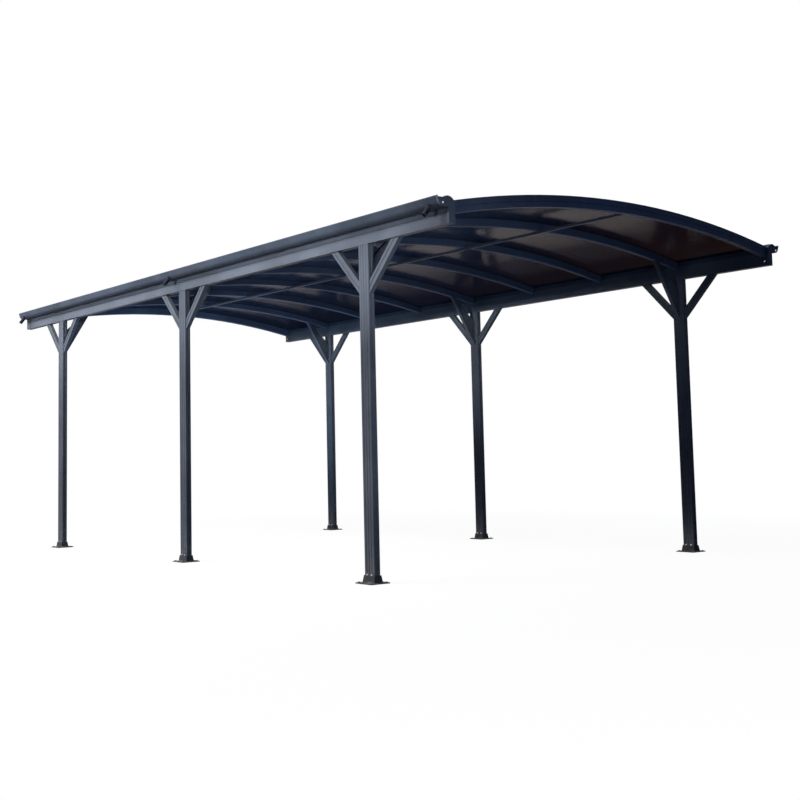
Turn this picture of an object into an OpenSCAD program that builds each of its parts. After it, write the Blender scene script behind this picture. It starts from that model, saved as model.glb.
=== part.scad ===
// Carport with a shallow arched roof: fluted posts on anchor feet, knee braces, eave beams
// with a gutter in the section, glazing ribs on an arc, and roof panels held between the ribs.
// X runs across the bay, Y from the front to the rear, Z up from the ground.

/* [Bay] */
// Distance across the bay between the centrelines of the two post rows
post_span = 2920; // [2500:10:3400]
// Distance between neighbouring roof ribs
rib_pitch = 750; // [680:1:820]
// Height of the eave beams' underside above the ground
eave_h = 2000; // [1800:10:2500]
// Rise of the roof panels from the post line to the crown
arch_rise = 156; // [130:1:190]
// Gap left where one piece seats against a curved or enclosing one
fit_gap = 0.3; // [0.2:0.05:0.5]

/* [Posts] */
// Post section across the bay
post_w = 44; // [40:1:60]
// Post section along the bay
post_d = 96; // [80:1:112]
// Wall of the post extrusion
post_wall = 2.5; // [2:0.1:4]
// Radius of the post's outer corners
post_corner_r = 5; // [3:0.5:8]
// Radius of the lengthwise flutes
flute_r = 5; // [3:0.5:6]
// Depth of the flutes
flute_depth = 3; // [1.5:0.1:4]
// Distance between neighbouring flutes on the wide faces
flute_pitch = 25; // [18:0.5:27]

/* [Feet] */
// Anchor plate across the bay
foot_w = 146; // [130:1:180]
// Anchor plate along the bay
foot_d = 157; // [146:1:200]
// Thickness of the anchor plate
foot_t = 6; // [4:0.5:12]
// Radius of the anchor plate's corners
foot_corner_r = 10; // [4:1:18]
// Height of the flared socket above the plate
socket_h = 42; // [30:1:70]
// Wall of the socket at its top edge
socket_rim = 3; // [2:0.5:5]
// Outstand of the socket from the post at the plate
socket_flare = 10; // [8:1:20]
// Radius of the anchor holes
anchor_r = 5.5; // [4:0.25:7]
// Anchor hole spacing across the bay
anchor_dx = 108; // [104:1:114]
// Anchor hole spacing along the bay
anchor_dy = 124; // [120:1:126]

/* [Knee braces] */
// Depth below the eave of a brace's lower edge at the post
brace_drop = 294; // [220:1:400]
// Reach of a side brace along the eave beam, from the post's face
brace_reach = 290; // [240:1:400]
// Reach of the inward brace along the rib, from the post's face
knee_reach = 253; // [200:1:330]
// Height of the inward brace's foot against the post
knee_foot_h = 200; // [140:1:240]
// Length of the inward brace's tip along the rib
knee_tip = 40; // [34:1:60]
// Width of the rim around the recess in the inward brace's sides
knee_rim = 8; // [5:0.5:10]
// Width of a side brace in the plane of its lean
brace_w = 50; // [40:1:60]
// Thickness of the braces
brace_t = 30; // [24:1:36]
// Width of the channel along each side of a side brace
brace_channel_w = 16; // [8:1:22]
// Depth of the channels and recesses in the braces' sides
brace_channel_d = 3; // [1:0.5:6]
// Wall of the braces
brace_wall = 2; // [1.5:0.25:4]

/* [Eave beams] */
// Width of the beam's box
beam_w = 46; // [44:1:60]
// Height of the plain lower fascia on the beam's outer face
fascia_h = 40; // [30:1:50]
// Height of the recessed band between the fascia and the gutter
recess_h = 52; // [44:1:60]
// Depth of the recessed band
recess_d = 6; // [3:0.5:9]
// Height of the shadow groove above the fascia
groove_h = 24; // [12:1:36]
// Width and depth of the shadow groove
groove_d = 3; // [1.5:0.5:4]
// Wall of the beam's hollow box
beam_wall = 2.5; // [2:0.1:4]
// Height of the panels' seat above the beam's underside, at the post line
seat_h = 119; // [114:1:124]
// Radius of the rounded cover over the panels' ends
hump_r = 28; // [25:1:32]
// Distance of the cover's centre outside the post line
hump_out = 18; // [16:1:22]
// Height of the cover's top above the beam's underside
hump_h = 152; // [148:1:158]
// Outstand of the gutter from the box
gutter_reach = 80; // [72:1:100]
// Radius of the gutter's round lower corner
gutter_r = 36; // [32:1:40]
// Outward lean of the gutter wall above the round corner
gutter_lean = 20; // [10:1:25]
// Height of the gutter's lip above the gutter's underside
gutter_h = 56; // [52:1:64]
// Wall of the gutter
gutter_t = 3; // [2:0.25:4]
// Height of the upright lip at the top of the gutter wall
lip_h = 8; // [4:0.5:14]
// Overrun of the beams past the end arches
beam_overrun = 2; // [0:1:30]
// Width of the open seam between the two beam lengths
seam_gap = 1; // [0.5:0.1:3]
// Thickness of the end caps
cap_plate_t = 14; // [4:1:24]
// Radius of the dome at the top of the end caps
dome_r = 52; // [44:1:58]
// Distance of the dome's crest outside the post line
dome_out = 28; // [24:1:34]

/* [Drain spouts] */
// Outer radius of a spout
spout_r = 13.5; // [10:0.5:14]
// Wall of a spout
spout_wall = 2.5; // [1.5:0.25:4]
// Length of a spout outside the gutter
spout_len = 60; // [40:1:90]
// Slope of a spout below the horizontal
spout_angle = 52; // [48:1:58]
// Distance of the end spouts from the beam's ends
spout_inset = 80; // [50:1:140]
// Radius of the collar against the gutter
spout_collar_r = 18; // [17.5:0.5:22]
// Thickness of the collar
spout_collar_t = 4; // [2:0.5:8]

/* [Roof] */
// Thickness of the roof panels
panel_t = 4; // [3:0.5:8]
// Play between a panel's edges and the bottom of its slots
panel_play = 2; // [1:0.5:4]
// Depth of a panel's end past the post line, inside the beam's cover
panel_tuck = 14; // [8:1:16]
// Width of a rib's box under the panels
rib_w = 40; // [34:1:50]
// Height of a rib's box under the panels
rib_h = 50; // [40:1:60]
// Wall of a rib's box
rib_wall = 2.5; // [2:0.1:4]
// Chamfer along a rib's lower edges
rib_chamfer = 4; // [1:0.5:6]
// Width of the stem that parts two panels
stem_w = 10; // [6:1:14]
// Width of a rib's cover cap
cap_w = 44; // [36:1:54]
// Thickness of a rib's cover cap
cap_t = 6; // [4:0.5:10]
// Chamfer along the cap's upper edges
cap_chamfer = 3; // [1:0.5:3.5]
// Width of the end arches
arch_w = 44; // [36:1:60]
// Depth of the end arches below the panels
arch_depth = 62; // [56:1:90]
// Height of the line along the end arches' face, below the panels
arch_line_h = 30; // [10:1:45]
// Width and depth of that line
arch_line_d = 3; // [1:0.5:5]
// Side of the square crown tie
tie_w = 17; // [14:1:40]
// Wall of the crown tie
tie_wall = 2; // [1.5:0.25:3]

/* [Hidden] */
$fn = 64;
arc_fn = 720;
paint = "#343b46";
paint_dark = "#2a303a";
galvanised = "#3d434c";
sheet_tint = [0.28, 0.22, 0.19, 0.55];

rows = ["front", "middle", "rear"];
sides = ["left", "right"];
rib_count = 7;
panel_count = rib_count + 1;
posts_every = 3;

post_x = post_span / 2;
arch_end_y = panel_count / 2 * rib_pitch;
beam_end_y = arch_end_y + arch_w / 2 + beam_overrun;
beam_in = post_w / 2;
beam_out = beam_w - beam_in;
gutter_floor = fascia_h + recess_h;
lip_top = gutter_floor + gutter_h;
lip_bottom = lip_top - lip_h;
gutter_edge = beam_out + gutter_reach;
gutter_axis_z = gutter_floor + gutter_r;
gutter_axis_x = gutter_edge - wall_run(lip_bottom, 0);
hump_z = hump_h - hump_r;

// The panels' underside is an arc through the seats on both post lines
arc_r = (post_x * post_x + arch_rise * arch_rise) / (2 * arch_rise);
arc_z = eave_h + seat_h + arch_rise - arc_r;
edge_angle = asin(post_x / arc_r);
rib_top = -fit_gap;
rib_bottom = rib_top - rib_h;
cap_bottom = panel_t + fit_gap;
cap_top = cap_bottom + cap_t;
span_in = post_x - beam_in - fit_gap;
brace_foot_z = eave_h - brace_drop;
brace_lean = atan2(brace_drop, brace_reach);
brace_hollow_t = brace_t - 2 * (brace_channel_d + brace_wall);

function row_y(row) = (row - 1) * posts_every * rib_pitch;
function side_sign(side) = 2 * side - 1;
function rib_y(i) = (i - panel_count / 2) * rib_pitch;

// Outward run of the leaning gutter wall, shrunk by an inset, from the round corner's axis up to z
function wall_run(z, inset) =
    (gutter_r - inset) / cos(gutter_lean) + (z - gutter_axis_z) * tan(gutter_lean);

function arc_height(offset, x) = arc_z + sqrt(pow(arc_r + offset, 2) - x * x);

// Rectangle centred on the origin with round corners
module round_rect(w, d, r) {
    square([w, d - 2 * r], center = true);
    square([w - 2 * r, d], center = true);
    for (x = [-1, 1], y = [-1, 1])
        translate([x * (w / 2 - r), y * (d / 2 - r)])
            circle(r);
}

// Places a shape at each flute: three on each wide face, one on each narrow face
module at_flutes() {
    reach = flute_r - flute_depth;
    for (x = [-1, 1], y = [-1:1])
        translate([x * (post_w / 2 + reach), y * flute_pitch])
            children();
    for (y = [-1, 1])
        translate([0, y * (post_d / 2 + reach)])
            children();
}

// Hollow extrusion of the post, its wall following the flutes
module post_section() {
    difference() {
        round_rect(post_w, post_d, post_corner_r);
        at_flutes() circle(flute_r);
        difference() {
            square([post_w - 2 * post_wall, post_d - 2 * post_wall], center = true);
            at_flutes() circle(flute_r + post_wall);
        }
    }
}

module post(row, side) {
    color(paint)
        translate([side_sign(side) * post_x, row_y(row), foot_t])
            linear_extrude(eave_h - foot_t)
                post_section();
}

// Upright trapezoid, as seen along one axis of the flared socket
module socket_face(width) {
    foot = width / 2 + socket_flare;
    rim = width / 2 + fit_gap + socket_rim;
    polygon([[-foot, 0], [foot, 0], [rim, socket_h], [-rim, socket_h]]);
}

module foot(row, side) {
    color(galvanised)
        translate([side_sign(side) * post_x, row_y(row), 0]) {
            difference() {
                linear_extrude(foot_t)
                    round_rect(foot_w, foot_d, foot_corner_r);
                for (x = [-1, 1], y = [-1, 1])
                    translate([x * anchor_dx / 2, y * anchor_dy / 2, -foot_t])
                        cylinder(r = anchor_r, h = 3 * foot_t);
            }
            translate([0, 0, foot_t])
                difference() {
                    intersection() {
                        rotate([90, 0, 0])
                            linear_extrude(foot_d, center = true)
                                socket_face(post_w);
                        rotate([90, 0, 90])
                            linear_extrude(foot_w, center = true)
                                socket_face(post_d);
                    }
                    linear_extrude(4 * socket_h, center = true)
                        round_rect(post_w + 2 * fit_gap, post_d + 2 * fit_gap, post_corner_r);
                }
        }
}

// Side brace in its plane: a leaning bar, cut upright at the post and level under the eave beam
module brace_outline() {
    polygon([
        [0, 0],
        [brace_reach, brace_drop],
        [brace_reach - brace_w / sin(brace_lean), brace_drop],
        [0, brace_w / cos(brace_lean)]
    ]);
}

// Band of a given width along the middle of a side brace, longer than the brace
module brace_band(width) {
    rotate(brace_lean)
        translate([-brace_w, (brace_w - width) / 2])
            square([2 * (brace_reach + brace_drop), width]);
}

// Hollow bar with a channel along each side
module side_brace() {
    rotate([90, 0, 0])
        difference() {
            linear_extrude(brace_t, center = true)
                brace_outline();
            for (face = [-1, 1])
                translate([0, 0, face * brace_t / 2])
                    linear_extrude(2 * brace_channel_d, center = true)
                        brace_band(brace_channel_w);
            linear_extrude(brace_hollow_t, center = true)
                brace_band(brace_w - 2 * brace_wall);
        }
}

// Tapered outline of the inward brace: upright at the post, its tip along the rib's fall
module knee_outline(rise, tip_fall) {
    polygon([
        [0, 0],
        [knee_reach, rise],
        [knee_reach - knee_tip, rise - tip_fall],
        [0, knee_foot_h]
    ]);
}

// Part of the inward brace from a start at the post up to its tip, inside a margin
module knee_inside(rise, tip_fall, start, margin) {
    end = knee_reach - knee_tip - margin;
    lower = atan2(rise, knee_reach);
    upper = atan2(rise - tip_fall - knee_foot_h, knee_reach - knee_tip);
    lower_z = margin / cos(lower);
    upper_z = knee_foot_h - margin / cos(upper);
    polygon([
        [start, lower_z + start * tan(lower)],
        [end, lower_z + end * tan(lower)],
        [end, upper_z + end * tan(upper)],
        [start, upper_z + start * tan(upper)]
    ]);
}

// Inward brace, seated against the underside of the rib that it carries: a tapered hollow plate
// with a recess in each side
module inward_brace(row, side) {
    toe_x = post_x - beam_in - knee_reach;
    rise = arc_height(rib_bottom - fit_gap, toe_x) - brace_foot_z;
    tip_fall = knee_tip * tan(asin((toe_x + knee_tip / 2) / (arc_r + rib_bottom)));
    translate([side_sign(side) * (post_x - beam_in), row_y(row), brace_foot_z])
        rotate([90, 0, side == 0 ? 0 : 180])
            difference() {
                linear_extrude(brace_t, center = true)
                    knee_outline(rise, tip_fall);
                for (face = [-1, 1])
                    translate([0, 0, face * brace_t / 2])
                        linear_extrude(2 * brace_channel_d, center = true)
                            knee_inside(rise, tip_fall, knee_rim, knee_rim);
                linear_extrude(brace_hollow_t, center = true)
                    knee_inside(rise, tip_fall, -brace_wall, brace_wall);
            }
}

module braces(row, side) {
    color(paint) {
        for (way = [-1, 1])
            translate([side_sign(side) * post_x, row_y(row) + way * post_d / 2, brace_foot_z])
                rotate([0, 0, way * 90])
                    side_brace();
        inward_brace(row, side);
    }
}

// Upright lip at the top of the gutter's outer wall
module lip_section() {
    thickness = gutter_t / cos(gutter_lean);
    translate([gutter_edge - thickness, lip_bottom])
        square([thickness, lip_h]);
}

// Outline of the gutter, shrunk by an inset, from a given start up to a given top: a flat floor,
// a round corner and a wall that leans outwards from the corner
module gutter_outline(start, top, inset) {
    r = gutter_r - inset;
    polygon([
        [start, gutter_floor + inset],
        [gutter_axis_x, gutter_floor + inset],
        [gutter_axis_x, gutter_axis_z],
        [gutter_axis_x + r * cos(gutter_lean), gutter_axis_z - r * sin(gutter_lean)],
        [gutter_axis_x + wall_run(top, inset), top],
        [start, top]
    ]);
    translate([gutter_axis_x, gutter_axis_z])
        intersection() {
            circle(r);
            translate([0, -r])
                square(r);
        }
}

// Floor, wall and lip of the gutter
module gutter_wall() {
    difference() {
        gutter_outline(hump_out, lip_bottom, 0);
        gutter_outline(hump_out, lip_top, gutter_t);
    }
    lip_section();
}

// Solid outline of the box with its sloping seat
module box_outline() {
    slope = tan(edge_angle);
    polygon([
        [-beam_in, 0],
        [beam_out, 0],
        [beam_out, gutter_floor],
        [hump_out, seat_h - hump_out * slope],
        [-beam_in, seat_h + beam_in * slope - fit_gap]
    ]);
}

// Solid outline of the rounded cover over the panels' ends
module cover_outline() {
    translate([hump_out, gutter_floor])
        square([hump_r, hump_z - gutter_floor]);
    translate([hump_out, hump_z])
        circle(hump_r);
}

// Slot for the panels' ends, along the slope of the arc at the post line
module panel_slot() {
    translate([0, seat_h - fit_gap])
        rotate(-edge_angle)
            translate([-2 * beam_w, 0])
                square([2 * beam_w + (panel_tuck + panel_play) / cos(edge_angle), panel_t + 2 * fit_gap]);
}

// Recessed band and shadow groove on the outer face
module face_recess() {
    translate([beam_out - recess_d, fascia_h])
        square([2 * recess_d, recess_h]);
    translate([beam_out - recess_d - groove_d, fascia_h + groove_h])
        square([2 * groove_d, groove_d]);
}

// Hollows of the extrusion: the box below the gutter floor, the space under the seat and the
// inside of the rounded cover beyond the slot
module beam_hollows() {
    left = -beam_in + beam_wall;
    right = beam_out - recess_d - groove_d - beam_wall;
    upper_z = gutter_floor + gutter_t;
    web = panel_tuck + panel_play + beam_wall;
    translate([left, beam_wall])
        square([right - left, gutter_floor - 2 * beam_wall]);
    translate([left, beam_wall])
        square([beam_w - 2 * beam_wall, fascia_h - 2 * beam_wall]);
    translate([left, upper_z])
        square([web - beam_wall - left, seat_h - web * tan(edge_angle) - beam_wall - upper_z]);
    intersection() {
        union() {
            translate([web, upper_z])
                square([hump_out + hump_r - beam_wall - web, hump_z - upper_z]);
            translate([hump_out, hump_z])
                circle(hump_r - beam_wall);
        }
        translate([web, upper_z])
            square(2 * hump_r);
    }
}

// Section of the eave beam, with outwards to the right of the post line
module beam_section() {
    difference() {
        union() {
            box_outline();
            cover_outline();
            gutter_wall();
        }
        face_recess();
        panel_slot();
        beam_hollows();
    }
}

// Runs a section along the eave of one side, between two places along the bay
module along_eave(side, from_y, to_y) {
    translate([side_sign(side) * post_x, to_y, eave_h])
        mirror([1 - side, 0, 0])
            rotate([90, 0, 0])
                linear_extrude(to_y - from_y)
                    children();
}

// Places a shape on a spout's axis, which leaves the gutter square to its round corner
module on_spout_axis(side, y) {
    translate([side_sign(side) * post_x, y, eave_h])
        mirror([1 - side, 0, 0])
            translate([gutter_axis_x, 0, gutter_axis_z])
                rotate([0, 90 + spout_angle, 0])
                    children();
}

function spout_places() = [-beam_end_y + spout_inset, spout_inset, beam_end_y - spout_inset];

module eave_beam(end, side) {
    from_y = end == 0 ? -beam_end_y : seam_gap / 2;
    to_y = end == 0 ? -seam_gap / 2 : beam_end_y;
    color(paint)
        difference() {
            along_eave(side, from_y, to_y)
                beam_section();
            for (y = spout_places())
                on_spout_axis(side, y)
                    cylinder(r = spout_r + fit_gap, h = gutter_r + spout_len);
        }
}

// Outline of the end caps: the box, the gutter closed up to its lip, and a dome over the panels' ends
module cap_outline() {
    box_outline();
    gutter_outline(hump_out, lip_bottom, 0);
    lip_section();
    intersection() {
        translate([dome_out, hump_h - dome_r])
            circle(dome_r);
        translate([-beam_in, gutter_floor])
            square([gutter_axis_x + beam_in, hump_h]);
    }
}

module end_caps(side) {
    color(paint_dark) {
        along_eave(side, -beam_end_y - cap_plate_t, -beam_end_y)
            cap_outline();
        along_eave(side, beam_end_y, beam_end_y + cap_plate_t)
            cap_outline();
    }
}

module drain_spouts(side) {
    inner_end = gutter_r - 2 * gutter_t;
    color(paint_dark)
        for (y = spout_places())
            on_spout_axis(side, y)
                difference() {
                    union() {
                        translate([0, 0, inner_end])
                            cylinder(r = spout_r, h = gutter_r + spout_len - inner_end);
                        translate([0, 0, gutter_r + fit_gap])
                            cylinder(r = spout_collar_r, h = spout_collar_t);
                    }
                    cylinder(r = spout_r - spout_wall, h = 2 * (gutter_r + spout_len));
                }
}

// Sweeps a section along the roof's arc at a place along the bay, with upright ends. In the
// section, x is the offset from the panels' underside, from bottom up, and y runs along the bay.
module along_arc(y, half_span, bottom) {
    half_angle = asin(half_span / (arc_r + bottom));
    intersection() {
        translate([0, y, arc_z])
            rotate([90, 0, 0])
                rotate(90 - half_angle)
                    rotate_extrude(angle = 2 * half_angle, $fn = arc_fn)
                        translate([arc_r, 0])
                            mirror([0, 1])
                                children();
        cube([2 * half_span, 4 * arch_end_y, 4 * eave_h], center = true);
    }
}

// Flat cap with chamfered upper edges
module cap_section(width) {
    polygon([
        [cap_bottom, -width / 2],
        [cap_top - cap_chamfer, -width / 2],
        [cap_top, -width / 2 + cap_chamfer],
        [cap_top, width / 2 - cap_chamfer],
        [cap_top - cap_chamfer, width / 2],
        [cap_bottom, width / 2]
    ]);
}

// Hollow box under the panels, a stem between them and a cap over their edges
module rib_section() {
    difference() {
        polygon([
            [rib_bottom, -rib_w / 2 + rib_chamfer],
            [rib_bottom + rib_chamfer, -rib_w / 2],
            [rib_top, -rib_w / 2],
            [rib_top, rib_w / 2],
            [rib_bottom + rib_chamfer, rib_w / 2],
            [rib_bottom, rib_w / 2 - rib_chamfer]
        ]);
        translate([rib_bottom + rib_wall, -rib_w / 2 + rib_wall + rib_chamfer / 2])
            square([rib_h - 2 * rib_wall, rib_w - 2 * rib_wall - rib_chamfer]);
    }
    translate([rib_top - rib_wall, -stem_w / 2])
        square([cap_bottom - rib_top + 2 * rib_wall, stem_w]);
    cap_section(cap_w);
}

module rib(i) {
    color(paint)
        along_arc(rib_y(i), span_in, rib_bottom)
            rib_section();
}

// Deep box with a panel slot on its inner side and a line along its outer face.
// The section is drawn for the front, where inwards is along +Y.
module arch_section() {
    outer = -arch_w / 2;
    difference() {
        polygon([
            [-arch_depth, outer],
            [cap_top - cap_chamfer, outer],
            [cap_top, outer + cap_chamfer],
            [cap_top, -outer - cap_chamfer],
            [cap_top - cap_chamfer, -outer],
            [-arch_depth + rib_chamfer, -outer],
            [-arch_depth, -outer - rib_chamfer]
        ]);
        translate([rib_top, stem_w / 2])
            square([panel_t + 2 * fit_gap, arch_w]);
        translate([-arch_line_h, outer - arch_line_d])
            square([arch_line_d, 2 * arch_line_d]);
        translate([-arch_depth + rib_wall, outer + rib_wall + arch_line_d])
            square([arch_depth - 2 * rib_wall, arch_w - 2 * rib_wall - arch_line_d - rib_chamfer]);
    }
}

module end_arch(end) {
    color(paint)
        mirror([0, end, 0])
            along_arc(-arch_end_y, span_in, -arch_depth)
                arch_section();
}

module crown_tie() {
    length = 2 * (arch_end_y - arch_w / 2 - fit_gap);
    color(paint)
        translate([0, 0, arc_z + arc_r + rib_bottom - fit_gap - tie_w / 2])
            rotate([90, 0, 0])
                linear_extrude(length, center = true)
                    difference() {
                        square(tie_w, center = true);
                        square(tie_w - 2 * tie_wall, center = true);
                    }
}

module roof_panel(i) {
    width = rib_pitch - stem_w - 2 * panel_play;
    color(sheet_tint)
        along_arc(rib_y(i) - rib_pitch / 2, post_x + panel_tuck, 0)
            translate([0, -width / 2])
                square([panel_t, width]);
}

for (r = [0:2], s = [0:1]) {
    post(r, s);
    foot(r, s);
    braces(r, s);
}
for (s = [0:1]) {
    eave_beam(0, s);
    eave_beam(1, s);
    end_caps(s);
    drain_spouts(s);
}
end_arch(0);  // front_arch
end_arch(1);  // rear_arch
crown_tie();
for (i = [1:rib_count])
    rib(i);
for (i = [1:panel_count])
    roof_panel(i);
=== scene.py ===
import math
import bmesh
import bpy
from itertools import product
from mathutils import Matrix, Vector


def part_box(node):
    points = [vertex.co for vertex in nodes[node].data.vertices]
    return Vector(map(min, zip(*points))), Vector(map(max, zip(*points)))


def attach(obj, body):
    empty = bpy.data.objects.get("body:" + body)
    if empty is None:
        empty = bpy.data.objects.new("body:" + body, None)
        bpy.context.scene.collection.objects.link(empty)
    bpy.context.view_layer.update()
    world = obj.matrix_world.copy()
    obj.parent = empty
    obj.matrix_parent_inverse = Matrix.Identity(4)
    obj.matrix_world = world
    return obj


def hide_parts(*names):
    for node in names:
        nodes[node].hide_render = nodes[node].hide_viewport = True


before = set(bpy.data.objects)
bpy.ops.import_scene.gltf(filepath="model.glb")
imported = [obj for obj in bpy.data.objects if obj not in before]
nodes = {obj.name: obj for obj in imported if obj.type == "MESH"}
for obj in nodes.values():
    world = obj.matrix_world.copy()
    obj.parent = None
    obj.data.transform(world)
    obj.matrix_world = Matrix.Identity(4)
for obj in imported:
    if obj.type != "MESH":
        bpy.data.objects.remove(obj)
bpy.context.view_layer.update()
scene = bpy.context.scene
print("frame loaded:", len(nodes), "nodes")


# camera

cameraPlace = {
    "spot": (-5.787, -7.939, 0.737),
    "heading": 37.12,  # degrees from +Y towards +X
    "pitch": 5.29,
    "roll": -1.18,
    "lens": 54.32,
    "sensor": 36,
    "shift": (0.04375, -0.06875),
    "farClip": 200,
}


def placeCamera(place):
    heading, pitch, roll = (math.radians(place[k]) for k in ("heading", "pitch", "roll"))
    ahead = math.cos(pitch)
    forward = Vector((math.sin(heading) * ahead, math.cos(heading) * ahead, math.sin(pitch)))
    level = Vector((math.cos(heading), -math.sin(heading), 0))
    upright = level.cross(forward)
    right = level * math.cos(roll) + upright * math.sin(roll)
    up = upright * math.cos(roll) - level * math.sin(roll)
    data = bpy.data.cameras.new("viewCamera")
    data.lens = place["lens"]
    data.sensor_width = place["sensor"]
    data.shift_x, data.shift_y = place["shift"]
    data.clip_end = place["farClip"]
    camera = bpy.data.objects.new("viewCamera", data)
    scene.collection.objects.link(camera)
    turn = Matrix((right, up, -forward)).transposed().to_4x4()
    camera.matrix_world = Matrix.Translation(place["spot"]) @ turn
    scene.camera = camera


placeCamera(cameraPlace)
scene.view_settings.view_transform = "Standard"
print("camera placed")


# sizes of the frame that the pieces follow, in metres

carport = {
    "postX": 1.460,
    "rowY": (-2.25, 0.0, 2.25),
    "postW": 0.044,
    "postD": 0.096,
    "eaveZ": 2.000,
    "ribPitch": 0.750,
    "ribCount": 7,
    "archY": 3.000,
    "seatH": 0.119,
    "rise": 0.156,
    "beamEndY": 3.024,
}
carport["arcR"] = (carport["postX"] ** 2 + carport["rise"] ** 2) / (2 * carport["rise"])
carport["arcZ"] = carport["eaveZ"] + carport["seatH"] + carport["rise"] - carport["arcR"]


def arcHeight(offset, x):
    return carport["arcZ"] + math.sqrt((carport["arcR"] + offset) ** 2 - x * x)


def ribPlace(i):
    return (i - (carport["ribCount"] + 1) / 2) * carport["ribPitch"]


# node helpers

def addNode(tree, kind, place, **settings):
    node = tree.nodes.new(kind)
    node.location = place
    for key, value in settings.items():
        setattr(node, key, value)
    return node


def feed(tree, node, **values):
    # a value is a plain number or colour, or another node's output; i0, i1 and on are inputs by number
    for key, value in values.items():
        byNumber = key[0] == "i" and key[1:].isdigit()
        socket = node.inputs[int(key[1:]) if byNumber else key.replace("_", " ")]
        if isinstance(value, bpy.types.NodeSocket):
            tree.links.new(value, socket)
        else:
            socket.default_value = value
    return node


def objectCoords(tree, place):
    return addNode(tree, "ShaderNodeTexCoord", place).outputs["Object"]


def splitVector(tree, place, vector):
    node = addNode(tree, "ShaderNodeSeparateXYZ", place)
    return feed(tree, node, i0=vector).outputs


def mathNode(tree, operation, place, *values):
    node = addNode(tree, "ShaderNodeMath", place, operation=operation)
    feed(tree, node, **{"i" + str(k): value for k, value in enumerate(values)})
    return node.outputs[0]


def noiseNode(tree, place, coords, scale, detail, stretch=None, seedShift=0.0):
    if stretch or seedShift:
        mapping = addNode(tree, "ShaderNodeMapping", (place[0] - 180, place[1]))
        feed(tree, mapping, Vector=coords, Scale=stretch or (1, 1, 1), Location=(seedShift,) * 3)
        coords = mapping.outputs[0]
    node = addNode(tree, "ShaderNodeTexNoise", place)
    feed(tree, node, Vector=coords, Scale=scale, Detail=detail)
    return node.outputs["Fac"]


def rangeNode(tree, place, value, fromLow, fromHigh, toLow, toHigh):
    node = addNode(tree, "ShaderNodeMapRange", place, interpolation_type="SMOOTHSTEP")
    feed(tree, node, i0=value, i1=fromLow, i2=fromHigh, i3=toLow, i4=toHigh)
    return node.outputs[0]


def cloudNode(tree, place, coords, scale, detail, span, stretch=None):
    # noise drawn out from one span of values to another
    noise = noiseNode(tree, (place[0] - 200, place[1]), coords, scale, detail, stretch)
    return rangeNode(tree, place, noise, *span)


def mixColour(tree, place, amount, first, second, blend="MIX"):
    node = addNode(tree, "ShaderNodeMix", place, data_type="RGBA", blend_type=blend)
    feed(tree, node, i0=amount, i6=first, i7=second)
    return node.outputs[2]


def newGroup(name, inputs, outputs):
    group = bpy.data.node_groups.new(name, "ShaderNodeTree")
    for socketName, kind, value in inputs:
        socket = group.interface.new_socket(name=socketName, in_out="INPUT", socket_type=kind)
        socket.default_value = value
    for socketName, kind in outputs:
        group.interface.new_socket(name=socketName, in_out="OUTPUT", socket_type=kind)
    source = addNode(group, "NodeGroupInput", (-900, 0))
    sink = addNode(group, "NodeGroupOutput", (900, 0))
    return group, source, sink


# shared effects, each with its noise as scale, detail, span of values and stretch

coatMarks = {
    "cloud": (2.6, 3.0, (0.3, 0.7, -1.0, 1.0)),
    "runs": (1.0, 4.0, (0.35, 0.75, -1.0, 1.0), (38, 38, 1.1)),
    "speck": (1400.0, 1.0, (0.3, 0.7, -0.05, 0.05)),
    "peelDetail": 1.5,
    "roughSpread": 0.05,
}


def buildCoatSkin():
    # powder coat: cloudy shade, rain runs, fine speckle and orange peel
    group, source, sink = newGroup("coatSkin", [
        ("Tone", "NodeSocketColor", (0.055, 0.07, 0.1, 1)),
        ("Cloud", "NodeSocketFloat", 0.16),
        ("Runs", "NodeSocketFloat", 0.12),
        ("Peel Scale", "NodeSocketFloat", 650.0),
        ("Gloss", "NodeSocketFloat", 0.45),
    ], [("Color", "NodeSocketColor"), ("Roughness", "NodeSocketFloat"), ("Height", "NodeSocketFloat")])
    m = coatMarks
    coords = objectCoords(group, (-900, 300))
    cloud = cloudNode(group, (-300, 400), coords, *m["cloud"])
    runs = cloudNode(group, (-300, 200), coords, *m["runs"])
    speck = cloudNode(group, (-300, 0), coords, *m["speck"])
    shade = mathNode(group, "MULTIPLY", (-100, 400), cloud, source.outputs["Cloud"])
    streaks = mathNode(group, "MULTIPLY", (-100, 200), runs, source.outputs["Runs"])
    shade = mathNode(group, "ADD", (60, 400), shade, streaks)
    shade = mathNode(group, "ADD", (220, 400), shade, speck)
    gain = mathNode(group, "ADD", (380, 400), shade, 1.0)
    scaled = addNode(group, "ShaderNodeVectorMath", (540, 400), operation="SCALE")
    feed(group, scaled, i0=source.outputs["Tone"], Scale=gain)
    peel = noiseNode(group, (-500, -200), coords, source.outputs["Peel Scale"], m["peelDetail"])
    rough = mathNode(group, "SUBTRACT", (-100, -200), cloud, runs)
    rough = mathNode(group, "MULTIPLY", (60, -200), rough, m["roughSpread"])
    rough = mathNode(group, "ADD", (220, -200), rough, source.outputs["Gloss"])
    feed(group, sink, Color=scaled.outputs[0], Roughness=rough, Height=peel)
    return group


dustMarks = {
    "patch": (24.0, 4.0, (0.35, 0.72, 0.15, 1.0)),
    "upward": (0.5, 0.95, 0.0, 1.0),  # how far a face looks up before dust settles on it
}


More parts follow.
